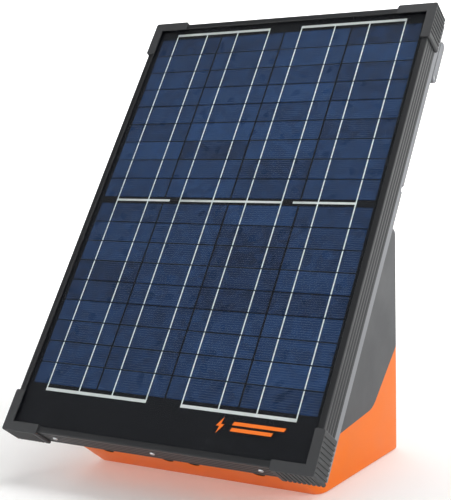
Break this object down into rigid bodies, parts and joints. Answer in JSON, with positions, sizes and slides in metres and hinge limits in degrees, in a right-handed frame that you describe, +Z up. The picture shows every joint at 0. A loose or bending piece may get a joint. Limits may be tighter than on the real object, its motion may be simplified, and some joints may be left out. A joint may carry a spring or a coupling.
{
  "type": "solar fence energizer",
  "caption": "Portable solar fence energizer: sloping framed solar panel on a two-part orange and grey housing with rear controls, wire terminals, charging socket and folding handle.",
  "frame": {"origin": "centre of the tub's flat bottom, on the ground", "axes": "+Z up, the panel faces -Y and slopes up towards +Y, +X to the right seen from the front"},
  "size_m": [0.345, 0.3168, 0.4649],
  "materials": {
    "anodised_frame": "black anodised, satin",
    "cap_plastic": "moulded, matt",
    "panel_glass": "tempered, clear",
    "silicon_cell": "blue antireflective coating",
    "tinned_ribbon": "tinned",
    "black_sheet": "matt black",
    "light_grey_plastic": "moulded, fine spark texture",
    "orange_plastic": "moulded, satin",
    "grey_plastic": "moulded, fine spark texture",
    "gasket_rubber": "matt",
    "zinc_steel": "zinc plated",
    "stainless_steel": "machined",
    "control_black": "moulded, satin",
    "lens_plastic": "clear tinted",
    "red_plastic": "moulded, satin",
    "green_plastic": "moulded, satin",
    "board_green": "solder mask",
    "battery_case": "moulded",
    "copper_winding": "enamelled copper wire",
    "capacitor_sleeve": "shrink sleeve",
    "brass_pin": "turned"
  },
  "bodies": {
    "case": {"backsheet": "black_sheet", "base_tub": "orange_plastic", "battery": "battery_case", "battery_lead_black": "black_sheet", "battery_lead_red": "red_plastic", "battery_strap": "zinc_steel", "battery_tabs": "tinned_ribbon", "board_components": "control_black", "board_screws": "zinc_steel", "button_switch": "black_sheet", "cap_hinge_pin": "zinc_steel", "cell_ribbons": "tinned_ribbon", "charge_pins": "brass_pin", "charge_socket": "control_black", "circuit_board": "board_green", "control_plate": "control_black", "corner_cap_bottom_left": "cap_plastic", "corner_cap_bottom_right": "cap_plastic", "corner_cap_top_left": "cap_plastic", "corner_cap_top_right": "cap_plastic", "earth_lead": "black_sheet", "fence_lead": "red_plastic", "frame_rail_bottom": "anodised_frame", "frame_rail_left": "anodised_frame", "frame_rail_right": "anodised_frame", "frame_rail_top": "anodised_frame", "frame_rivets": "zinc_steel", "handle_pins": "zinc_steel", "housing_gasket": "gasket_rubber", "housing_screws": "zinc_steel", "junction_box": "black_sheet", "junction_lid": "black_sheet", "panel_bolts": "zinc_steel", "panel_lead": "black_sheet", "panel_nuts": "zinc_steel", "panel_tray": "light_grey_plastic", "plate_screws": "zinc_steel", "rotary_switch": "black_sheet", "solar_cells": "silicon_cell", "solar_glass": "panel_glass", "status_lenses": "lens_plastic", "storage_capacitors": "capacitor_sleeve", "strap_screws": "zinc_steel", "stud_nuts": "stainless_steel", "terminal_insulators": "control_black", "terminal_studs": "stainless_steel", "transformer_core": "zinc_steel", "transformer_winding": "copper_winding", "upper_housing": "grey_plastic"},
    "mode_control": {"mode_knob": "control_black", "switch_shaft": "zinc_steel"},
    "test_key": {"test_button": "gasket_rubber"},
    "fence_clamp": {"fence_washer": "stainless_steel"},
    "fence_knob": {"fence_clamp_knob": "red_plastic"},
    "earth_clamp": {"earth_washer": "stainless_steel"},
    "earth_knob": {"earth_clamp_knob": "green_plastic"},
    "socket_cover": {"socket_cap": "gasket_rubber"},
    "handle": {"carry_handle": "light_grey_plastic"}
  },
  "joints": [
    {"name": "mode_turn", "type": "hinge", "parent": "case", "child": "mode_control", "pos_m": [-0.038, 0.092, 0.172], "axis": [0, 1, 0], "range_deg": [0, 90]},
    {"name": "test_press", "type": "slide", "parent": "case", "child": "test_key", "axis": [0, -1, 0], "range_m": [0, 0.0015], "stiffness_N_per_m": 400},
    {"name": "fence_knob_turn", "type": "hinge", "parent": "fence_clamp", "child": "fence_knob", "pos_m": [0.07, 0.092, 0.066], "axis": [0, 1, 0], "range_deg": [0, 1079]},
    {"name": "fence_clamp_lift", "type": "slide", "parent": "case", "child": "fence_clamp", "axis": [0, 1, 0], "range_m": [0, 0.003]},
    {"name": "earth_knob_turn", "type": "hinge", "parent": "earth_clamp", "child": "earth_knob", "pos_m": [-0.07, 0.092, 0.066], "axis": [0, 1, 0], "range_deg": [0, 1079]},
    {"name": "earth_clamp_lift", "type": "slide", "parent": "case", "child": "earth_clamp", "axis": [0, 1, 0], "range_m": [0, 0.003]},
    {"name": "socket_cap_swing", "type": "hinge", "parent": "case", "child": "socket_cover", "pos_m": [0, 0.0954, 0.08], "axis": [1, 0, 0], "range_deg": [0, 120]},
    {"name": "handle_swing", "type": "hinge", "parent": "case", "child": "handle", "pos_m": [0, 0.09701, 0.38893], "axis": [-1, 0, 0], "range_deg": [0, 110]}
  ],
  "couplings": [
    {"joint": "fence_clamp_lift", "follows": "fence_knob_turn", "m_per_rad": 0.00015915},
    {"joint": "earth_clamp_lift", "follows": "earth_knob_turn", "m_per_rad": 0.00015915}
  ]
}
